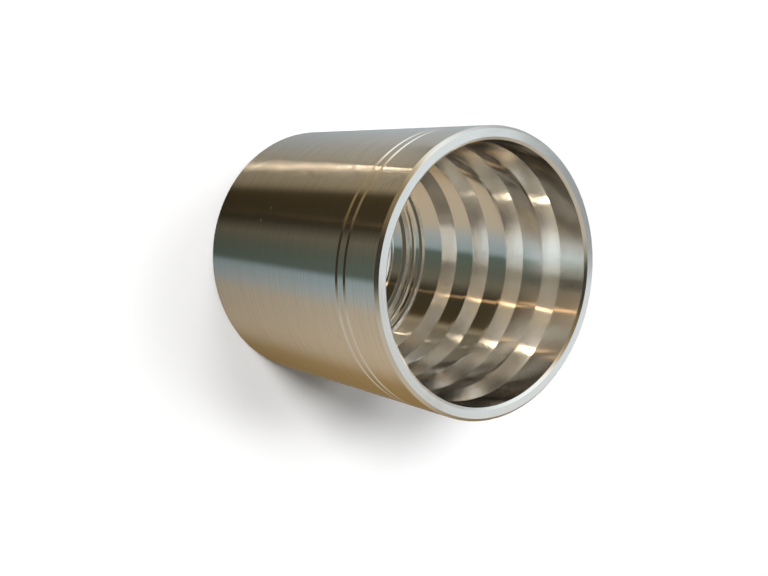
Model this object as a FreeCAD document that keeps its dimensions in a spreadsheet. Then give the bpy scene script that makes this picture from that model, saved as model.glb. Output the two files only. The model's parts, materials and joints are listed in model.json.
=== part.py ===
import FreeCAD, Part
import os

import Sketcher

# Crimp hose ferrule, turned from one piece of steel tube.
# It stands on its collar end: the rear face is at height 0 and +Z runs along the axis to the mouth,
# where the hose goes in. Inside are a plain entry, four barbed teeth that hold the hose against
# being pulled out, a plain seat, and a collar that narrows in steps to the lip that locks on the
# stem. Radii are measured from the axis, heights from the rear face. All sizes are in millimetres.

# Driving dimensions: name, value, meaning
DIMENSIONS = [
    ("bore_diameter", 59.8, "entry bore, and the floors between the teeth"),
    ("wall_thickness", 3.1, "wall round the entry bore"),
    ("mouth_outer_chamfer", 0.7, "break of the mouth's outer edge"),
    ("mouth_inner_chamfer", 0.6, "lead-in of the entry bore"),
    ("rear_outer_chamfer", 0.4, "break of the rear face's outer edge"),
    ("rear_inner_chamfer", 0.35, "break of the lip's edge at the rear face"),
    ("entry_length", 8.2, "plain bore from the mouth to the first ramp"),
    ("tooth_count", 4, "teeth along the bore"),
    ("tooth_height", 1.75, "from the floor to a tooth's tip"),
    ("ramp_length", 4.3, "slope of a tooth, on the side of the mouth"),
    ("tip_land", 1.0, "narrow cylinder left on a tooth's tip"),
    ("back_run", 0.3, "length over which a tooth's steep back falls away"),
    ("floor_length", 7.3, "floor from one tooth's back to the next tooth's ramp"),
    ("seat_depth", 0.65, "from the tips down to the plain seat behind the last tooth"),
    ("seat_length", 8.1, "plain seat between the last tooth and the collar"),
    ("first_step", 1.1, "radial height of the collar's first shoulder"),
    ("first_stage", 2.3, "length from the first shoulder to the second"),
    ("second_step", 0.75, "radial height of the second shoulder"),
    ("second_stage", 2.7, "length from the second shoulder to the third"),
    ("third_step", 1.45, "radial height of the third shoulder"),
    ("third_stage", 4.1, "length from the third shoulder to the lip"),
    ("shoulder_run", 0.2, "axial lean of each shoulder"),
    ("lip_step", 0.3, "bevel, height and length, from the third stage to the lip"),
    ("lip_length", 1.0, "cylinder of the lip, up from the rear face"),
    ("first_scribe_depth", 11.3, "from the mouth to the first scribed ring outside"),
    ("scribe_count", 2, "rings scribed round the outside, which show the hose's depth"),
    ("scribe_spacing", 2.9, "from one ring to the next"),
    ("scribe_width", 0.9, "width of a ring at the surface"),
    ("scribe_cut", 0.45, "depth of a ring"),
    ("cut_overrun", 2.0, "how far the turning tools run out past a surface"),
]

# Radii, as expressions on the sheet
BORE_R = "Sizes.bore_diameter / 2"
OUTER_R = f"({BORE_R} + Sizes.wall_thickness)"
TIP_R = f"({BORE_R} - Sizes.tooth_height)"
SEAT_R = f"({TIP_R} + Sizes.seat_depth)"
FIRST_R = f"({SEAT_R} - Sizes.first_step)"
SECOND_R = f"({FIRST_R} - Sizes.second_step)"
THIRD_R = f"({SECOND_R} - Sizes.third_step)"
LIP_R = f"({THIRD_R} - Sizes.lip_step)"
CORE_R = f"({LIP_R} - Sizes.cut_overrun)"

# Heights from the rear face, as expressions on the sheet
PITCH = "(Sizes.ramp_length + Sizes.tip_land + Sizes.back_run + Sizes.floor_length)"
LIP_TOP = "(Sizes.lip_length + Sizes.lip_step)"
THIRD_TOP = f"({LIP_TOP} + Sizes.third_stage)"
SECOND_TOP = f"({THIRD_TOP} + Sizes.second_stage)"
COLLAR_TOP = f"({SECOND_TOP} + Sizes.first_stage)"
LAST_LAND = f"({COLLAR_TOP} + Sizes.seat_length + Sizes.back_run)"
LAST_TIP = f"({LAST_LAND} + Sizes.tip_land)"
FIRST_RAMP = f"({LAST_TIP} + Sizes.ramp_length + (Sizes.tooth_count - 1) * {PITCH})"
MOUTH = f"({FIRST_RAMP} + Sizes.entry_length)"
PAST_MOUTH = f"({MOUTH} + Sizes.cut_overrun)"

LINEAR_TOLERANCE = 1e-4


def make_sheet(document):
    """Put every driving dimension in the sheet as a plain number with an alias and its meaning."""
    sheet = document.addObject("Spreadsheet::Sheet", "Sizes")
    for row, (alias, value, meaning) in enumerate(DIMENSIONS, start=1):
        sheet.set(f"A{row}", meaning)
        sheet.set(f"B{row}", str(value))
        sheet.setAlias(f"B{row}", alias)
    document.recompute()
    return sheet


def origin_feature(body, role):
    """Find one of a body's own origin planes or axes by its role."""
    return next(item for item in body.Origin.OriginFeatures if item.Role == role)


def section_sketch(body, name, corners):
    """Draw a closed half-section on the body's XZ plane.

    corners are (radius, height) pairs of expressions, in order round the section. A side whose
    ends share an expression is held vertical or horizontal, and every other corner coordinate is
    a dimension bound to the sheet, so the sketch is fully constrained.
    """
    sketch = body.newObject("Sketcher::SketchObject", name)
    sketch.AttachmentSupport = (origin_feature(body, "XZ_Plane"), "")
    sketch.MapMode = "FlatFace"
    points = [
        FreeCAD.Vector(sketch.evalExpression(radius), sketch.evalExpression(height), 0)
        for radius, height in corners
    ]
    count = len(corners)
    for index in range(count):
        sketch.addGeometry(Part.LineSegment(points[index], points[(index + 1) % count]), False)
    for index in range(count):
        sketch.addConstraint(Sketcher.Constraint("Coincident", index, 2, (index + 1) % count, 1))
    for index, (radius, height) in enumerate(corners):
        before = corners[index - 1] if index else (None, None)
        place = points[index]
        if radius == before[0]:
            sketch.addConstraint(Sketcher.Constraint("Vertical", index - 1))
        else:
            bind_dimension(sketch, "DistanceX", index, place.x, f"radius_{index}", radius)
        if height == before[1]:
            sketch.addConstraint(Sketcher.Constraint("Horizontal", index - 1))
        else:
            bind_dimension(sketch, "DistanceY", index, place.y, f"height_{index}", height)
    return sketch


def bind_dimension(sketch, kind, corner, value, name, expression):
    """Dimension a corner from the sketch origin and bind the dimension to the sheet."""
    constraint = sketch.addConstraint(Sketcher.Constraint(kind, -1, 1, corner, 1, value))
    sketch.renameConstraint(constraint, name)
    sketch.setExpression(f"Constraints.{name}", expression)


def turned(body, kind, name, sketch):
    """Turn a half-section a full circle about the axis, adding to the body or cutting from it."""
    feature = body.newObject(kind, name)
    feature.Profile = sketch
    feature.ReferenceAxis = (sketch, ["V_Axis"])
    feature.Angle = 360
    body.Document.recompute()
    return feature


def cut(body, name, corners):
    """Turn away a section, and stop if nothing was removed."""
    volume_before = body.Shape.Volume
    sketch = section_sketch(body, f"{name}Section", corners)
    groove = turned(body, "PartDesign::Groove", name, sketch)
    require_smaller(body, volume_before, name)
    return groove


def repeat_along_axis(body, name, feature, spacing, count):
    """Repeat a cut from the mouth towards the rear at an even spacing."""
    volume_before = body.Shape.Volume
    pattern = body.newObject("PartDesign::LinearPattern", name)
    pattern.Originals = [feature]
    pattern.Direction = (origin_feature(body, "Z_Axis"), [""])
    pattern.Reversed = True
    pattern.Mode = "Spacing"
    pattern.setExpression("Offset", spacing)
    pattern.setExpression("Occurrences", count)
    body.Tip = pattern
    body.Document.recompute()
    if pattern.Occurrences > 1:
        require_smaller(body, volume_before, name)
    return pattern


def require_smaller(body, volume_before, name):
    """Raise if the body's volume did not go down."""
    if body.Shape.Volume >= volume_before - LINEAR_TOLERANCE:
        raise RuntimeError(f"{name} removed nothing")


def circle_edge(body, radius, height):
    """Name the circular edge that lies at a radius and a height."""
    wanted_radius = body.evalExpression(radius)
    wanted_height = body.evalExpression(height)
    for number, edge in enumerate(body.Shape.Edges, start=1):
        circle = edge.Curve
        if not isinstance(circle, Part.Circle):
            continue
        same_radius = abs(circle.Radius - wanted_radius) < LINEAR_TOLERANCE
        same_height = abs(circle.Center.z - wanted_height) < LINEAR_TOLERANCE
        if same_radius and same_height:
            return f"Edge{number}"
    raise RuntimeError(f"no edge at radius {wanted_radius} and height {wanted_height}")


def chamfer(body, name, radius, height, size):
    """Break one circular edge by a chamfer whose size is on the sheet."""
    volume_before = body.Shape.Volume
    edge = circle_edge(body, radius, height)
    previous = body.Tip
    feature = body.newObject("PartDesign::Chamfer", name)
    feature.Base = (previous, [edge])
    feature.setExpression("Size", size)
    body.Tip = feature
    body.Document.recompute()
    require_smaller(body, volume_before, name)


def make_ferrule(document):
    """Build the ferrule in the order in which it is turned."""
    body = document.addObject("PartDesign::Body", "Ferrule")
    body.Label = "ferrule"

    # Blank: a tube as long as the ferrule, bored through at the lip
    blank = section_sketch(
        body, "BlankSection", [(LIP_R, "0"), (OUTER_R, "0"), (OUTER_R, MOUTH), (LIP_R, MOUTH)]
    )
    turned(body, "PartDesign::Revolution", "Blank", blank)

    # Stepped bore: to the tooth tips, then the seat and the collar's three shoulders down to the lip
    cut(
        body,
        "SteppedBore",
        [
            (CORE_R, PAST_MOUTH),
            (CORE_R, "Sizes.lip_length"),
            (LIP_R, "Sizes.lip_length"),
            (THIRD_R, LIP_TOP),
            (THIRD_R, f"{THIRD_TOP} - Sizes.shoulder_run"),
            (SECOND_R, THIRD_TOP),
            (SECOND_R, f"{SECOND_TOP} - Sizes.shoulder_run"),
            (FIRST_R, SECOND_TOP),
            (FIRST_R, f"{COLLAR_TOP} - Sizes.shoulder_run"),
            (SEAT_R, COLLAR_TOP),
            (SEAT_R, f"{LAST_LAND} - Sizes.back_run"),
            (TIP_R, LAST_LAND),
            (TIP_R, PAST_MOUTH),
        ],
    )

    # Plain entry, as far as the foot of the first ramp
    cut(
        body,
        "EntryBore",
        [(CORE_R, PAST_MOUTH), (CORE_R, FIRST_RAMP), (BORE_R, FIRST_RAMP), (BORE_R, PAST_MOUTH)],
    )

    # Sawtooth gap: the back of one tooth, the floor, and the ramp of the next tooth.
    # The first gap runs out into the entry, and the rest leave the teeth standing between them.
    gap_top = f"({FIRST_RAMP} + Sizes.floor_length + Sizes.back_run)"
    gap = cut(
        body,
        "ToothGap",
        [
            (CORE_R, gap_top),
            (CORE_R, f"({FIRST_RAMP} - Sizes.ramp_length)"),
            (TIP_R, f"({FIRST_RAMP} - Sizes.ramp_length)"),
            (BORE_R, FIRST_RAMP),
            (BORE_R, f"({gap_top} - Sizes.back_run)"),
            (TIP_R, gap_top),
        ],
    )
    repeat_along_axis(body, "ToothGaps", gap, PITCH, "Sizes.tooth_count")

    # Rings scribed round the outside, with a vee section
    scribe_height = f"({MOUTH} - Sizes.first_scribe_depth)"
    scribe_upper = f"({scribe_height} + Sizes.scribe_width / 2)"
    scribe_lower = f"({scribe_height} - Sizes.scribe_width / 2)"
    clear_r = f"({OUTER_R} + Sizes.cut_overrun)"
    scribe = cut(
        body,
        "Scribe",
        [
            (OUTER_R, scribe_lower),
            (clear_r, scribe_lower),
            (clear_r, scribe_upper),
            (OUTER_R, scribe_upper),
            (f"({OUTER_R} - Sizes.scribe_cut)", scribe_height),
        ],
    )
    repeat_along_axis(body, "Scribes", scribe, "Sizes.scribe_spacing", "Sizes.scribe_count")

    # Broken edges at both ends
    chamfer(body, "MouthOuterChamfer", OUTER_R, MOUTH, "Sizes.mouth_outer_chamfer")
    chamfer(body, "MouthInnerChamfer", BORE_R, MOUTH, "Sizes.mouth_inner_chamfer")
    chamfer(body, "RearOuterChamfer", OUTER_R, "0", "Sizes.rear_outer_chamfer")
    chamfer(body, "RearInnerChamfer", LIP_R, "0", "Sizes.rear_inner_chamfer")

    body.Placement = FreeCAD.Placement()
    return body


def check_document(document, parts):
    """Raise if an object failed, or if a part is not one valid solid."""
    document.recompute()
    for item in document.Objects:
        if "Invalid" in item.State or "Error" in item.State:
            raise RuntimeError(f"{item.Name} failed: {item.State}")
    for part in parts:
        shape = part.Shape
        if shape.isNull() or not shape.isValid() or len(shape.Solids) != 1:
            raise RuntimeError(f"{part.Label} is not one valid solid")


def export_parts(parts):
    """Write each part as parts/LABEL.step."""
    os.makedirs("parts", exist_ok=True)
    for part in parts:
        part.Shape.exportStep(os.path.join("parts", f"{part.Label}.step"))
        box = part.Shape.BoundBox
        print(f"{part.Label}: {part.Shape.Volume:.1f} mm3, {box.XLength:.2f} x {box.ZLength:.2f} mm")


document = FreeCAD.newDocument("HoseFerrule")
make_sheet(document)
parts = [make_ferrule(document)]
check_document(document, parts)
export_parts(parts)
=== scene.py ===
"""Crimp hose ferrule, turned from one piece of steel tube: its dressed surface and a small photo studio.

The ferrule stands on its collar end. The frame's Z axis is the ferrule's own axis, height 0 is the rear
face and the mouth is at the top. All sizes are in metres and all angles in degrees unless a name says
otherwise. An azimuth is an angle round the axis, from +X towards +Y.
"""

import json
import logging
import math
from dataclasses import dataclass
from enum import Enum

import bpy
import numpy as np
from mathutils import Matrix, Vector

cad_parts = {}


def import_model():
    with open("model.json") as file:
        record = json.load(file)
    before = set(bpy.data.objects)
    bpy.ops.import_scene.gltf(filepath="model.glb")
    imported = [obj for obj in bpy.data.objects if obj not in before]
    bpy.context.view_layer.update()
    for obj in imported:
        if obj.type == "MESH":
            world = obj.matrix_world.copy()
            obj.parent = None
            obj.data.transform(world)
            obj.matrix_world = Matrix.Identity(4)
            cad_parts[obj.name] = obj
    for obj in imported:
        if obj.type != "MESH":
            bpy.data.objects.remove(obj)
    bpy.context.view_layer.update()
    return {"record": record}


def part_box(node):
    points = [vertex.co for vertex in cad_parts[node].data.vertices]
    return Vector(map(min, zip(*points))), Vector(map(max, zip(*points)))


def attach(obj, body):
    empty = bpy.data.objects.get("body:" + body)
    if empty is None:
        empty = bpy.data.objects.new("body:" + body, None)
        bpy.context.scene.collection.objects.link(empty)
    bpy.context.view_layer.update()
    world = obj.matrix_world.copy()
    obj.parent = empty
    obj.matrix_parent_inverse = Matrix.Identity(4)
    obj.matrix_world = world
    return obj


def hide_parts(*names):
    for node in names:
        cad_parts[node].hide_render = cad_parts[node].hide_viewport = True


LOG = logging.getLogger("ferrule_scene")
MM = 0.001

# Half width of a card that goes all round: a degree over half a turn, so that its soft edge lies nowhere
ALL_ROUND = 181.0
WHITE = (1.0, 1.0, 1.0, 1.0)

Colour = tuple[float, float, float]
Corner = tuple[float, float, float]


# Shader maths

class Op(Enum):
    """An operation of the Math node."""

    ABSOLUTE = "ABSOLUTE"
    ADD = "ADD"
    ARCSINE = "ARCSINE"
    ARCTAN2 = "ARCTAN2"
    DIVIDE = "DIVIDE"
    GREATER_THAN = "GREATER_THAN"
    MAXIMUM = "MAXIMUM"
    MINIMUM = "MINIMUM"
    MULTIPLY = "MULTIPLY"
    SQRT = "SQRT"
    SUBTRACT = "SUBTRACT"


@dataclass(frozen=True)
class Value:
    """A number in a node tree. Python's operators on it add Math nodes to the tree."""

    graph: "Graph"
    socket: bpy.types.NodeSocket

    def math(self, operation: Op, *others: "Value | float") -> "Value":
        """Add one Math node with this value first.

        Args:
            operation: the Math node's operation.
            others: the node's further inputs, in order.

        Returns:
            The node's result.
        """
        return self.graph.math(operation, self, *others)

    def __add__(self, other: "Value | float") -> "Value":
        """This value plus another."""
        return self.math(Op.ADD, other)

    def __radd__(self, other: float) -> "Value":
        """A number plus this value."""
        return self.math(Op.ADD, other)

    def __sub__(self, other: "Value | float") -> "Value":
        """This value less another."""
        return self.math(Op.SUBTRACT, other)

    def __rsub__(self, other: float) -> "Value":
        """A number less this value."""
        return self.graph.math(Op.SUBTRACT, other, self)

    def __mul__(self, other: "Value | float") -> "Value":
        """This value times another."""
        return self.math(Op.MULTIPLY, other)

    def __rmul__(self, other: float) -> "Value":
        """A number times this value."""
        return self.math(Op.MULTIPLY, other)

    def __truediv__(self, other: "Value | float") -> "Value":
        """This value over another."""
        return self.math(Op.DIVIDE, other)

    def clamp(self) -> "Value":
        """This value, held between 0 and 1."""
        return self.math(Op.MAXIMUM, 0.0).math(Op.MINIMUM, 1.0)


class Graph:
    """A node tree that is filled from Python expressions."""

    def __init__(self, tree: bpy.types.NodeTree) -> None:
        """Take a node tree and empty it."""
        self.tree = tree
        tree.nodes.clear()

    def node(
        self,
        kind: str,
        settings: dict[str, object] | None = None,
        inputs: dict[int | str, object] | None = None,
    ) -> bpy.types.Node:
        """Add a node.

        Args:
            kind: the node's type.
            settings: its own settings, set first. "stops" holds a ramp's (position, colour) pairs.
            inputs: for each input socket, a Value, a socket to link or a constant.

        Returns:
            The new node.
        """
        node = self.tree.nodes.new(kind)
        for name, setting in (settings or {}).items():
            if name == "stops":
                self._fill_ramp(node.color_ramp, setting)
            else:
                setattr(node, name, setting)
        for key, given in (inputs or {}).items():
            source = given.socket if isinstance(given, Value) else given
            if isinstance(source, bpy.types.NodeSocket):
                self.tree.links.new(source, node.inputs[key])
            else:
                node.inputs[key].default_value = source
        return node

    @staticmethod
    def _fill_ramp(ramp: bpy.types.ColorRamp, stops: list[tuple[float, Colour]]) -> None:
        """Set a ramp's stops.

        Args:
            ramp: the ramp, which starts with two stops.
            stops: at least two (position, colour) pairs, in order of position.
        """
        while len(ramp.elements) < len(stops):
            ramp.elements.new(1.0)
        for element, (position, colour) in zip(ramp.elements, stops):
            element.position = position
            element.color = (*colour, 1.0)

    def math(self, operation: Op, *values: Value | float) -> Value:
        """Add a Math node.

        Args:
            operation: the node's operation.
            values: its inputs, in order.

        Returns:
            The node's result.
        """
        node = self.node("ShaderNodeMath", {"operation": operation.value}, dict(enumerate(values)))
        return Value(self, node.outputs[0])

    def mix(self, factor: Value | float, first: object, second: object) -> bpy.types.NodeSocket:
        """Blend two colours.

        Args:
            factor: 0 gives the first colour and 1 the second.
            first: a colour or a socket.
            second: a colour or a socket.

        Returns:
            The blend's socket.
        """
        # Of the Mix node's many sockets, 6 and 7 take the two colours and output 2 gives the blend
        first, second = ((*given, 1.0) if isinstance(given, tuple) else given for given in (first, second))
        return self.node("ShaderNodeMix", {"data_type": "RGBA"}, {0: factor, 6: first, 7: second}).outputs[2]

    def noise(self, vector: object, scale: float, detail: float = 2.0) -> Value:
        """Noise from 0 to 1 about one half.

        Args:
            vector: the socket with the place.
            scale: how many cells a metre holds.
            detail: how many finer layers are added.

        Returns:
            The noise as a value.
        """
        node = self.node(
            "ShaderNodeTexNoise",
            {"noise_dimensions": "3D"},
            {"Vector": vector, "Scale": scale, "Detail": detail},
        )
        return Value(self, node.outputs["Fac"])


# Finish

@dataclass(frozen=True)
class Blemish:
    """A nick or a smudge on the surface."""

    place: tuple[float, float, float]
    radius: float
    depth: float = 0.0
    dullness: float = 0.0
    shade: float = 0.0

    def share(self, graph: Graph, place: object) -> Value:
        """How much of the blemish is at a place: 1 at its centre, falling evenly to 0 at its radius."""
        apart = graph.node("ShaderNodeVectorMath", {"operation": "DISTANCE"}, {0: place, 1: self.place})
        return (1 - Value(graph, apart.outputs["Value"]) / self.radius).clamp()


@dataclass(frozen=True)
class TurnedSteel:
    """Bright steel straight off the lathe, with fine marks that run round the axis."""

    name: str = "turned_steel"
    cool: Colour = (0.73, 0.73, 0.72)
    warm: Colour = (0.77, 0.72, 0.65)
    smudge: Colour = (0.25, 0.18, 0.10)
    roughness: float = 0.105
    roughness_spread: float = 0.05
    anisotropy: float = 0.95
    quarter_turn: float = 0.25
    groove_scale: float = 9000.0
    mark_scale: float = 2600.0
    band_scale: float = 420.0
    patch_scale: float = 45.0
    groove_depth: float = 0.0000035
    outside_share: float = 0.35
    mark_share: float = 0.3
    tint_shares: tuple[float, float, float] = (0.3, 0.35, 0.35)
    tint_contrast: float = 2.4
    bore_edge: float = 30.4 * MM
    mouth_foot: float = 70.25 * MM
    zone_blend: float = 0.1 * MM
    mouth_roughness: float = 0.1
    brush_roughness: float = 0.12
    brush_shade: float = 0.7
    brush_round: float = 60.0
    brush_along: float = 3200.0
    blemishes: tuple[Blemish, ...] = (
        Blemish((14.43 * MM, 29.68 * MM, 56.73 * MM), 0.3 * MM, depth=0.02 * MM, dullness=0.5),
        Blemish((8.62 * MM, 31.85 * MM, 22.05 * MM), 0.3 * MM, depth=0.03 * MM, dullness=0.6),
        Blemish((11.66 * MM, 30.87 * MM, 24.79 * MM), 0.3 * MM, depth=0.02 * MM, dullness=0.5),
        Blemish((-15.64 * MM, 29.06 * MM, 53.65 * MM), 1.4 * MM, shade=0.12),
    )

    def material(self) -> bpy.types.Material:
        """Make the finish.

        The marks are noise of two numbers, the radius sqrt(x^2 + y^2) and the height z, so they run
        round the axis on every wall, slope and face.

        Returns:
            The material.
        """
        material = bpy.data.materials.new(self.name)
        material.use_nodes = True
        graph = Graph(material.node_tree)
        place = graph.node("ShaderNodeTexCoord").outputs["Object"]
        split = graph.node("ShaderNodeSeparateXYZ", None, {0: place})
        x, y, z = (Value(graph, socket) for socket in split.outputs)
        radius = (x * x + y * y).math(Op.SQRT)
        section = graph.node("ShaderNodeCombineXYZ", None, {0: radius, 1: z}).outputs[0]
        marks = graph.noise(section, self.mark_scale, 3.0)
        bands = graph.noise(section, self.band_scale)
        patches = graph.noise(place, self.patch_scale)
        mark_share, band_share, patch_share = self.tint_shares
        mingled = mark_share * marks + band_share * bands + patch_share * patches
        tint = ((mingled - 0.5) * self.tint_contrast + 0.5).clamp()
        spread = (marks - 0.5) * self.roughness_spread + (patches - 0.5) * self.roughness_spread
        stretched = {0: x * self.brush_round, 1: y * self.brush_round, 2: z * self.brush_along}
        strokes = graph.node("ShaderNodeCombineXYZ", None, stretched).outputs[0]
        mouth = ((z - self.mouth_foot) / self.zone_blend).clamp() * self.mouth_roughness
        outside = ((radius - self.bore_edge) / self.zone_blend).clamp()
        brush = (graph.noise(strokes, 1.0) - 0.5).math(Op.MAXIMUM, 0.0) * outside
        depth = 1 - outside * (1 - self.outside_share)
        height = (graph.noise(section, self.groove_scale, 1.0) + marks * self.mark_share) * depth
        shade, dull = brush * self.brush_shade, brush * self.brush_roughness
        for blemish in self.blemishes:
            share = blemish.share(graph, place)
            height = height - share * (blemish.depth / self.groove_depth)
            shade = shade + share * blemish.shade
            dull = dull + share * blemish.dullness
        bump = graph.node("ShaderNodeBump", None, {"Distance": self.groove_depth, "Height": height})
        shader = graph.node(
            "ShaderNodeBsdfPrincipled",
            None,
            {
                "Base Color": graph.mix(shade, graph.mix(tint, self.cool, self.warm), self.smudge),
                "Metallic": 1.0,
                "Roughness": spread + mouth + dull + self.roughness,
                "Anisotropic": self.anisotropy,
                "Anisotropic Rotation": self.quarter_turn,
                "Normal": bump.outputs[0],
            },
        )
        graph.node("ShaderNodeOutputMaterial", None, {"Surface": shader.outputs[0]})
        return material


# Ferrule

class Outline:
    """The half-section of a turned part, as a closed loop of corners joined by straight sides.

    Corners run anticlockwise with the radius to the right and the height up, so that the metal is on
    the left. Each is (radius, height, fillet).
    """

    def __init__(self, corners: list[Corner], steps: int) -> None:
        """Keep the corners, and how many points each fillet gets."""
        self.corners = np.array(corners)
        self.steps = steps

    def points(self) -> tuple[np.ndarray, np.ndarray]:
        """Work out the rounded outline.

        With unit directions a before a corner and b after it, and t the angle from a to b, the fillet
        of radius f starts f tan(|t| / 2) before the corner. Its point at share u is the start plus the
        integral of the direction, which turns evenly: start + f / sign(t) (n(0) - n(u t)), where
        n is the outward normal (dz, -dr) of the direction.

        Returns:
            The points (radius, height) and their outward normals, each with one row a point.
        """
        here, fillet = self.corners[:, :2], self.corners[:, 2]
        before = here - np.roll(here, 1, axis=0)
        after = np.roll(here, -1, axis=0) - here
        heading_in = np.arctan2(before[:, 1], before[:, 0])
        heading_out = np.arctan2(after[:, 1], after[:, 0])
        turn = (heading_out - heading_in + np.pi) % (2 * np.pi) - np.pi
        way_in = np.stack([np.cos(heading_in), np.sin(heading_in)], axis=1)
        start = here - way_in * (fillet * np.tan(np.abs(turn) / 2))[:, None]
        share = np.linspace(0, 1, self.steps)
        heading = heading_in[:, None] + turn[:, None] * share
        normal = np.stack([np.sin(heading), -np.cos(heading)], axis=2)
        swing = (normal - normal[:, :1]) * (fillet * np.sign(turn))[:, None, None]
        points = start[:, None] + swing
        return points.reshape(-1, 2), normal.reshape(-1, 2)


@dataclass
class Ferrule:
    """The ferrule's one turned piece."""

    outer_radius: float
    length: float
    tip_radius: float
    lip_radius: float
    bore_radius: float = 29.9 * MM
    tooth_count: int = 4
    ramp_length: float = 4.3 * MM
    tip_land: float = 1.0 * MM
    back_run: float = 0.3 * MM
    floor_length: float = 7.3 * MM
    entry_length: float = 8.2 * MM
    seat_radius: float = 28.8 * MM
    collar_radii: tuple[float, ...] = (27.7 * MM, 26.95 * MM, 25.5 * MM)
    collar_tops: tuple[float, ...] = (10.4 * MM, 8.1 * MM, 5.4 * MM)
    shoulder_run: float = 0.2 * MM
    lip_top: float = 1.3 * MM
    lip_length: float = 1.0 * MM
    scribe_depths: tuple[float, ...] = (14.2 * MM, 11.3 * MM)
    scribe_width: float = 0.9 * MM
    scribe_cut: float = 0.45 * MM
    mouth_outer_chamfer: float = 0.7 * MM
    mouth_inner_chamfer: float = 0.6 * MM
    rear_outer_chamfer: float = 0.4 * MM
    rear_inner_chamfer: float = 0.35 * MM
    edge_fillet: float = 0.06 * MM
    tooth_fillet: float = 0.1 * MM
    foot_fillet: float = 0.15 * MM
    fillet_steps: int = 5
    segments: int = 360

    def corners(self) -> list[Corner]:
        """List the section's corners, up the outside, round the mouth and down the bore.

        Returns:
            (radius, height, fillet) of each corner.
        """
        edge = self.edge_fillet
        outline = [
            (self.outer_radius - self.rear_outer_chamfer, 0.0, edge),
            (self.outer_radius, self.rear_outer_chamfer, edge),
        ]
        for depth in self.scribe_depths:
            height = self.length - depth
            outline += [
                (self.outer_radius, height - self.scribe_width / 2, edge),
                (self.outer_radius - self.scribe_cut, height, edge),
                (self.outer_radius, height + self.scribe_width / 2, edge),
            ]
        outline += [
            (self.outer_radius, self.length - self.mouth_outer_chamfer, edge),
            (self.outer_radius - self.mouth_outer_chamfer, self.length, edge),
            (self.bore_radius + self.mouth_inner_chamfer, self.length, edge),
            (self.bore_radius, self.length - self.mouth_inner_chamfer, edge),
        ]
        outline += self.teeth()
        outline += self.collar()
        return outline

    def teeth(self) -> list[Corner]:
        """List the corners of the barbed teeth, from the mouth down to the seat.

        Returns:
            (radius, height, fillet) of each corner.
        """
        tooth, foot = self.tooth_fillet, self.foot_fillet
        pitch = self.ramp_length + self.tip_land + self.back_run + self.floor_length
        outline: list[Corner] = []
        for number in range(self.tooth_count):
            ramp_top = self.length - self.entry_length - number * pitch
            tip_top = ramp_top - self.ramp_length
            tip_foot = tip_top - self.tip_land
            last = number == self.tooth_count - 1
            outline += [
                (self.bore_radius, ramp_top, foot),
                (self.tip_radius, tip_top, tooth),
                (self.tip_radius, tip_foot, tooth),
                (self.seat_radius if last else self.bore_radius, tip_foot - self.back_run, foot),
            ]
        return outline

    def collar(self) -> list[Corner]:
        """List the corners of the stepped collar, from the seat down to the rear face.

        Returns:
            (radius, height, fillet) of each corner.
        """
        tooth, foot = self.tooth_fillet, self.foot_fillet
        outline: list[Corner] = []
        above = self.seat_radius
        for radius, top in zip(self.collar_radii, self.collar_tops):
            outline += [(above, top, foot), (radius, top - self.shoulder_run, tooth)]
            above = radius
        outline += [
            (above, self.lip_top, foot),
            (self.lip_radius, self.lip_length, self.edge_fillet),
            (self.lip_radius, self.rear_inner_chamfer, self.edge_fillet),
            (self.lip_radius + self.rear_inner_chamfer, 0.0, self.edge_fillet),
        ]
        return outline

    def build(self, finish: bpy.types.Material) -> bpy.types.Object:
        """Turn the outline round the axis.

        The surface is P(i, a) = (r_i cos a, r_i sin a, z_i), with the outline's point i and the angle
        a, and its normal is (n_r cos a, n_r sin a, n_z).

        Args:
            finish: the steel.

        Returns:
            The ferrule's object.
        """
        points, normals = Outline(self.corners(), self.fillet_steps).points()
        angle = np.linspace(0, 2 * np.pi, self.segments, endpoint=False)
        turned = [
            np.stack(
                [
                    np.outer(pairs[:, 0], np.cos(angle)),
                    np.outer(pairs[:, 0], np.sin(angle)),
                    np.outer(pairs[:, 1], np.ones_like(angle)),
                ],
                axis=2,
            ).reshape(-1, 3)
            for pairs in (points, normals)
        ]
        count = len(points)
        row, column = np.meshgrid(np.arange(count), np.arange(self.segments), indexing="ij")
        next_row, next_column = (row + 1) % count, (column + 1) % self.segments
        corners = [(row, column), (row, next_column), (next_row, next_column), (next_row, column)]
        faces = np.stack([r * self.segments + c for r, c in corners], axis=2).reshape(-1, 4)
        mesh = bpy.data.meshes.new("ferrule_turned")
        mesh.from_pydata(turned[0], [], faces)
        mesh.shade_smooth()
        mesh.normals_split_custom_set_from_vertices(turned[1])
        mesh.materials.append(finish)
        piece = bpy.data.objects.new("ferrule_turned", mesh)
        bpy.context.scene.collection.objects.link(piece)
        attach(piece, "root")
        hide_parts("ferrule")
        return piece


# Studio

@dataclass(frozen=True)
class Band:
    """One stop of the light that stands round the ferrule."""

    azimuth: float
    colour: Colour


@dataclass(frozen=True)
class Card:
    """A patch of the tent with its own light, such as a lamp's narrow window or a dark flag."""

    azimuth: float
    half_width: float
    lowest: float
    highest: float
    colour: Colour
    edge: float = 0.6

    def over(self, graph: Graph, light: object, azimuth: Value, elevation: Value) -> bpy.types.NodeSocket:
        """Lay the card over the tent's light.

        Args:
            graph: the tent's node tree.
            light: the light behind the card.
            azimuth: the azimuth of the place on the tent.
            elevation: its elevation, as an angle.

        Returns:
            The light with the card.
        """
        across = ((self.half_width - (azimuth - self.azimuth).math(Op.ABSOLUTE)) / self.edge + 0.5).clamp()
        foot = ((elevation - self.lowest) / self.edge + 0.5).clamp()
        head = ((self.highest - elevation) / self.edge + 0.5).clamp()
        return graph.mix(across * foot * head, light, self.colour)


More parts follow.
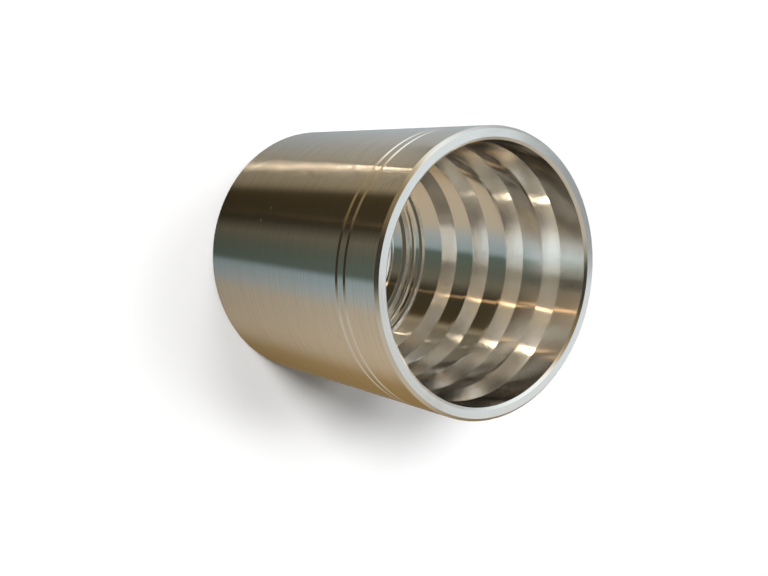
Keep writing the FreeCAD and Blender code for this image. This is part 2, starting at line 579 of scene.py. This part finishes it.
@dataclass(frozen=True)
class Belt:
    """Light all round the ferrule, with cards over it."""

    bands: tuple[Band, ...]
    cards: tuple[Card, ...] = ()

    def light(self, graph: Graph, azimuth: Value, elevation: Value) -> bpy.types.NodeSocket:
        """Make the belt's light.

        Args:
            graph: the tent's node tree.
            azimuth: the azimuth of the place on the tent.
            elevation: its elevation, as an angle.

        Returns:
            The light's colour.
        """
        stops = [(band.azimuth / 360 + 0.5, band.colour) for band in self.bands]
        fill = {"Fac": azimuth / 360 + 0.5}
        light = graph.node("ShaderNodeValToRGB", {"stops": stops}, fill).outputs[0]
        for card in self.cards:
            light = card.over(graph, light, azimuth, elevation)
        return light


@dataclass(frozen=True)
class Sun:
    """A soft sun. Its angle is how wide it looks, which softens its shadow."""

    name: str
    azimuth: float
    elevation: float
    strength: float
    angle: float

    def build(self) -> None:
        """Make the sun, which lights the table but isn't seen in the metal."""
        sun = bpy.data.lights.new(self.name, "SUN")
        sun.energy = self.strength
        sun.angle = math.radians(self.angle)
        lamp = bpy.data.objects.new(self.name, sun)
        side, height = math.radians(self.azimuth), math.radians(self.elevation)
        level = math.cos(height)
        towards = Vector((math.cos(side) * level, math.sin(side) * level, math.sin(height)))
        lamp.matrix_world = towards.to_track_quat("Z", "Y").to_matrix().to_4x4()
        lamp.visible_glossy = False
        bpy.context.scene.collection.objects.link(lamp)


@dataclass(frozen=True)
class Studio:
    """A white table, three soft suns, and a tent of cards that only the metal reflects.

    The tent has a belt of light for each number of reflections in the metal: lower and upper for one,
    below and above the horizon, inner and mouth likewise for two, then third and fourth, and one even
    light for more.
    """

    table_size: float = 4.0
    table_colour: Colour = (0.92, 0.92, 0.92)
    table_glow: float = 0.03
    table_roughness: float = 0.9
    ambient: float = 0.04
    suns: tuple[Sun, ...] = (
        Sun("sun_high", azimuth=2, elevation=72, strength=0.84, angle=13),
        Sun("sun_left", azimuth=-50, elevation=72, strength=0.6, angle=12),
        Sun("sun_right", azimuth=52, elevation=59, strength=2.16, angle=14),
    )
    tent_radius: float = 15.0
    tent_segments: int = 64
    tent_rings: int = 32
    lower: Belt = Belt(
        bands=(
            Band(-180, (0.44, 0.35, 0.24)),
            Band(-160, (0.28, 0.19, 0.085)),
            Band(-130, (0.22, 0.145, 0.06)),
            Band(-100, (0.22, 0.19, 0.15)),
            Band(-70, (0.36, 0.40, 0.42)),
            Band(-38, (0.38, 0.39, 0.38)),
            Band(-6, (0.37, 0.33, 0.26)),
            Band(6, (0.34, 0.29, 0.21)),
            Band(26, (0.27, 0.22, 0.14)),
            Band(32, (0.05, 0.035, 0.015)),
            Band(62, (0.04, 0.033, 0.02)),
            Band(74, (0.13, 0.12, 0.085)),
            Band(86, (0.10, 0.11, 0.085)),
            Band(101, (0.09, 0.12, 0.10)),
            Band(106, (0.26, 0.33, 0.35)),
            Band(119, (0.34, 0.38, 0.38)),
            Band(132, (0.45, 0.39, 0.30)),
            Band(165, (0.47, 0.39, 0.28)),
            Band(180, (0.44, 0.35, 0.24)),
        ),
        cards=(
            Card(azimuth=2, half_width=23, lowest=-49.4, highest=0, colour=(0.09, 0.08, 0.055)),
            Card(azimuth=60, half_width=1.0, lowest=-46, highest=0, colour=(1.2, 0.75, 0.35)),
            Card(azimuth=3.3, half_width=0.18, lowest=-64, highest=-51.5, colour=(19, 15.5, 11.4), edge=0.2),
        ),
    )
    upper: Belt = Belt(
        bands=(
            Band(-180, (0.60, 0.54, 0.44)),
            Band(-150, (0.60, 0.56, 0.48)),
            Band(-125, (0.72, 0.72, 0.69)),
            Band(-108, (0.86, 0.93, 0.98)),
            Band(-60, (0.90, 1.03, 1.12)),
            Band(-30, (1.15, 1.28, 1.36)),
            Band(-8, (1.25, 1.35, 1.40)),
            Band(8, (1.20, 1.18, 1.05)),
            Band(17, (0.75, 0.60, 0.38)),
            Band(30, (0.34, 0.26, 0.13)),
            Band(58, (0.18, 0.13, 0.06)),
            Band(70, (0.045, 0.035, 0.02)),
            Band(104, (0.045, 0.04, 0.03)),
            Band(116, (0.38, 0.36, 0.29)),
            Band(130, (0.62, 0.56, 0.46)),
            Band(180, (0.60, 0.54, 0.44)),
        ),
        cards=(
            Card(azimuth=-83, half_width=10, lowest=15, highest=43.5, colour=(0.0, 0.01, 0.015)),
        ),
    )
    inner: Belt = Belt(
        bands=(
            Band(-180, (0.58, 0.55, 0.46)),
            Band(-155, (0.42, 0.32, 0.20)),
            Band(-125, (0.36, 0.28, 0.19)),
            Band(-108, (0.30, 0.25, 0.19)),
            Band(-98, (0.07, 0.07, 0.055)),
            Band(-88, (0.07, 0.075, 0.06)),
            Band(-80, (0.30, 0.34, 0.32)),
            Band(-72, (0.45, 0.52, 0.50)),
            Band(-50, (0.95, 1.20, 1.35)),
            Band(-28, (0.85, 0.92, 0.96)),
            Band(-7, (0.30, 0.28, 0.24)),
            Band(15, (0.10, 0.085, 0.06)),
            Band(36, (0.07, 0.06, 0.045)),
            Band(57, (0.04, 0.035, 0.025)),
            Band(75, (0.07, 0.06, 0.045)),
            Band(100, (0.08, 0.065, 0.045)),
            Band(131, (0.06, 0.045, 0.03)),
            Band(141, (0.50, 0.38, 0.24)),
            Band(162, (0.48, 0.42, 0.33)),
            Band(180, (0.58, 0.55, 0.46)),
        ),
        cards=(
            Card(azimuth=-139, half_width=2, lowest=-55, highest=-30, colour=(3.2, 2.0, 1.0)),
            Card(azimuth=141, half_width=1.5, lowest=-55, highest=-30, colour=(3.5, 2.4, 1.3)),
        ),
    )
    mouth: Belt = Belt(
        bands=(
            Band(-180, (1.0, 0.95, 0.85)),
            Band(-155, (0.80, 0.68, 0.50)),
            Band(-125, (0.60, 0.52, 0.42)),
            Band(-105, (0.70, 0.67, 0.58)),
            Band(-94, (0.55, 0.53, 0.44)),
            Band(-84, (0.60, 0.62, 0.55)),
            Band(-76, (1.1, 1.2, 1.2)),
            Band(-58, (1.45, 1.75, 1.98)),
            Band(-38, (1.62, 1.84, 1.98)),
            Band(-22, (1.6, 1.65, 1.6)),
            Band(-3, (1.0, 0.95, 0.85)),
            Band(20, (1.3, 1.15, 0.92)),
            Band(45, (1.3, 1.2, 1.0)),
            Band(62, (1.4, 1.5, 1.45)),
            Band(92, (0.55, 0.50, 0.42)),
            Band(112, (0.80, 0.68, 0.50)),
            Band(133, (1.1, 0.95, 0.72)),
            Band(147, (1.6, 1.5, 1.3)),
            Band(165, (1.7, 1.65, 1.5)),
            Band(180, (1.0, 0.95, 0.85)),
        ),
        cards=(
            Card(azimuth=30, half_width=4, lowest=25, highest=50, colour=(20.0, 17.8, 13.8)),
            Card(azimuth=157, half_width=4, lowest=25, highest=50, colour=(20.0, 17.8, 13.4)),
            Card(azimuth=-137, half_width=2, lowest=25, highest=50, colour=(9.0, 6.2, 3.8)),
            Card(azimuth=0, half_width=ALL_ROUND, lowest=48.5, highest=91, colour=(0.14, 0.14, 0.12)),
        ),
    )
    third: Belt = Belt(
        bands=(
            Band(-180, (0.45, 0.42, 0.36)),
            Band(-150, (0.30, 0.28, 0.23)),
            Band(-125, (0.60, 0.56, 0.48)),
            Band(-95, (0.65, 0.60, 0.50)),
            Band(-60, (1.0, 0.95, 0.85)),
            Band(-35, (0.95, 0.93, 0.86)),
            Band(-12, (0.50, 0.46, 0.38)),
            Band(15, (1.80, 1.52, 1.15)),
            Band(40, (1.70, 1.40, 1.00)),
            Band(60, (0.75, 0.68, 0.56)),
            Band(95, (0.95, 0.92, 0.84)),
            Band(112, (1.9, 1.98, 2.0)),
            Band(150, (2.1, 2.18, 2.2)),
            Band(168, (1.2, 1.18, 1.1)),
            Band(180, (0.45, 0.42, 0.36)),
        ),
        cards=(
            Card(azimuth=140, half_width=40, lowest=-13, highest=8, colour=(3.6, 3.7, 3.7), edge=3.0),
            Card(azimuth=16, half_width=11, lowest=-13, highest=8, colour=(3.4, 2.9, 2.3), edge=3.0),
            Card(azimuth=0, half_width=ALL_ROUND, lowest=-91, highest=-13, colour=(0.03, 0.026, 0.018)),
        ),
    )
    fourth: Belt = Belt(
        bands=(
            Band(-180, (2.40, 2.40, 2.24)),
            Band(-140, (2.40, 2.32, 2.08)),
            Band(-112, (2.08, 2.00, 1.84)),
            Band(-95, (1.12, 1.04, 0.88)),
            Band(-60, (0.70, 0.64, 0.54)),
            Band(-35, (0.80, 0.74, 0.62)),
            Band(-14, (2.80, 2.85, 2.80)),
            Band(22, (3.00, 3.05, 3.00)),
            Band(38, (0.90, 0.80, 0.65)),
            Band(65, (0.40, 0.36, 0.28)),
            Band(90, (1.12, 1.02, 0.85)),
            Band(115, (2.24, 2.16, 2.00)),
            Band(130, (3.04, 3.12, 3.04)),
            Band(165, (2.88, 2.96, 2.88)),
            Band(180, (2.40, 2.40, 2.24)),
        ),
        cards=(
            Card(azimuth=-25, half_width=40, lowest=-13, highest=8, colour=(4.2, 4.4, 4.5), edge=3.0),
            Card(azimuth=48, half_width=22, lowest=-13, highest=8, colour=(2.6, 2.5, 2.3), edge=3.0),
            Card(azimuth=0, half_width=ALL_ROUND, lowest=-91, highest=-13, colour=(0.03, 0.026, 0.018)),
            Card(azimuth=32, half_width=14, lowest=-33, highest=-15, colour=(2.4, 1.6, 0.85)),
            Card(azimuth=-72, half_width=10, lowest=-28, highest=-14, colour=(3.0, 2.2, 1.4)),
        ),
    )
    deep_light: Colour = (0.22, 0.20, 0.155)
    horizon: tuple[float, float] = (0.0, 0.3)
    slope_foot: float = -0.84
    slope_rate: float = 4.5
    slope_range: tuple[float, float] = (0.6, 1.25)

    def build(self) -> None:
        """Make the table, the tent, the suns and the world."""
        self._table()
        self._tent()
        for sun in self.suns:
            sun.build()
        self._world()

    @staticmethod
    def _seen_directly(graph: Graph) -> Value:
        """1 where the camera, a gloss or clear glass looks straight at the surface, and else 0."""
        path = graph.node("ShaderNodeLightPath")
        camera, glossy, clear = (
            Value(graph, path.outputs[name])
            for name in ("Is Camera Ray", "Is Glossy Ray", "Is Transmission Ray")
        )
        return camera.math(Op.MAXIMUM, glossy).math(Op.MAXIMUM, clear)

    def _table(self) -> None:
        """Make the white table, whose glow is seen but lights nothing, so that it keeps its shadow."""
        half = self.table_size / 2
        mesh = bpy.data.meshes.new("table")
        corners = [(-half, -half, 0), (half, -half, 0), (half, half, 0), (-half, half, 0)]
        mesh.from_pydata(corners, [], [(0, 1, 2, 3)])
        material = bpy.data.materials.new("white_table")
        material.use_nodes = True
        graph = Graph(material.node_tree)
        shader = graph.node(
            "ShaderNodeBsdfPrincipled",
            None,
            {
                "Base Color": (*self.table_colour, 1.0),
                "Roughness": self.table_roughness,
                "Specular IOR Level": 0.0,
                "Emission Color": WHITE,
                "Emission Strength": self._seen_directly(graph) * self.table_glow,
            },
        )
        graph.node("ShaderNodeOutputMaterial", None, {"Surface": shader.outputs[0]})
        mesh.materials.append(material)
        table = bpy.data.objects.new("table", mesh)
        bpy.context.scene.collection.objects.link(table)
        table.visible_glossy = False

    def _tent(self) -> None:
        """Make the tent, whose light depends on the direction and on how often the metal has reflected it."""
        bpy.ops.mesh.primitive_uv_sphere_add(
            segments=self.tent_segments, ring_count=self.tent_rings, radius=self.tent_radius
        )
        tent = bpy.context.object
        tent.name = "tent"
        material = bpy.data.materials.new("tent_cards")
        material.use_nodes = True
        graph = Graph(material.node_tree)
        place = graph.node("ShaderNodeTexCoord").outputs["Object"]
        split = graph.node("ShaderNodeSeparateXYZ", None, {0: place})
        x, y, z = (Value(graph, socket) for socket in split.outputs)
        degrees = 180 / math.pi
        azimuth = y.math(Op.ARCTAN2, x) * degrees
        rise = z / self.tent_radius
        elevation = rise.math(Op.ARCSINE) * degrees
        lower, upper, inner, mouth, third, fourth = (
            belt.light(graph, azimuth, elevation)
            for belt in (self.lower, self.upper, self.inner, self.mouth, self.third, self.fourth)
        )
        start, end = self.horizon
        above = ((rise - start) / (end - start)).clamp()
        bounces = Value(graph, graph.node("ShaderNodeLightPath").outputs["Glossy Depth"])
        over_one, over_two, over_three, over_four = (
            bounces.math(Op.GREATER_THAN, number + 0.5) for number in (1, 2, 3, 4)
        )
        light = graph.mix(over_one, graph.mix(above, lower, upper), graph.mix(above, inner, mouth))
        light = graph.mix(over_two, light, third)
        light = graph.mix(over_three, light, fourth)
        light = graph.mix(over_four, light, self.deep_light)
        dimmest, brightest = self.slope_range
        slope = (rise - self.slope_foot) * self.slope_rate + 1
        slope = slope.math(Op.MAXIMUM, dimmest).math(Op.MINIMUM, brightest)
        plain = above.math(Op.MAXIMUM, over_one)
        gain = slope * (1 - plain) + plain
        glow = graph.node("ShaderNodeEmission", None, {"Color": light, "Strength": gain})
        graph.node("ShaderNodeOutputMaterial", None, {"Surface": glow.outputs[0]})
        tent.data.materials.append(material)
        tent.visible_camera = False
        tent.visible_diffuse = False
        tent.visible_shadow = False
        tent.visible_transmission = False

    def _world(self) -> None:
        """Make the world: plain soft light, and white where it is looked at."""
        world = bpy.data.worlds.new("studio")
        world.use_nodes = True
        graph = Graph(world.node_tree)
        seen = self._seen_directly(graph)
        strength = seen + (1 - seen) * self.ambient
        background = graph.node("ShaderNodeBackground", None, {"Color": WHITE, "Strength": strength})
        graph.node("ShaderNodeOutputWorld", None, {"Surface": background.outputs[0]})
        bpy.context.scene.world = world


@dataclass(frozen=True)
class Camera:
    """The photo's camera, as fitted to the ferrule's outline and rings."""

    place: tuple[float, float, float] = (13.483 * MM, 152.314 * MM, 229.417 * MM)
    backward: tuple[float, float, float] = (0.08139, 0.60657, 0.79085)
    image_up: tuple[float, float, float] = (0.99475, 0.0, -0.10238)
    focal_pixels: float = 985.0
    image_width: float = 768.0
    sensor_width_mm: float = 36.0
    nearest: float = 10 * MM

    def build(self) -> None:
        """Make the camera and give it to the scene."""
        camera = bpy.data.cameras.new("camera")
        camera.sensor_width = self.sensor_width_mm
        camera.lens = self.sensor_width_mm * self.focal_pixels / self.image_width
        camera.clip_start = self.nearest
        holder = bpy.data.objects.new("camera", camera)
        back = Vector(self.backward).normalized()
        right = Vector(self.image_up).cross(back).normalized()
        turn = Matrix((right, back.cross(right), back)).transposed()
        holder.matrix_world = Matrix.Translation(self.place) @ turn.to_4x4()
        bpy.context.scene.collection.objects.link(holder)
        bpy.context.scene.camera = holder


def mount_radius(record: dict, name: str) -> float:
    """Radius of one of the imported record's mounts, in metres."""
    return next(m["dims"]["r_mm"] for m in record["mounts"] if m["name"] == name) * MM


def main() -> None:
    """Load the frame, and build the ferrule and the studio."""
    logging.basicConfig(level=logging.INFO, format="%(name)s: %(message)s")
    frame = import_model()
    low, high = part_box("ferrule")
    record = frame["record"]
    ferrule = Ferrule(
        outer_radius=high.x,
        length=high.z - low.z,
        tip_radius=mount_radius(record, "hose_bore"),
        lip_radius=mount_radius(record, "stem_bore"),
    )
    piece = ferrule.build(TurnedSteel().material())
    LOG.info("%s: %d faces", piece.name, len(piece.data.polygons))
    Studio().build()
    Camera().build()
    bpy.context.scene.view_settings.view_transform = "Standard"


if __name__ == "__main__":
    main()
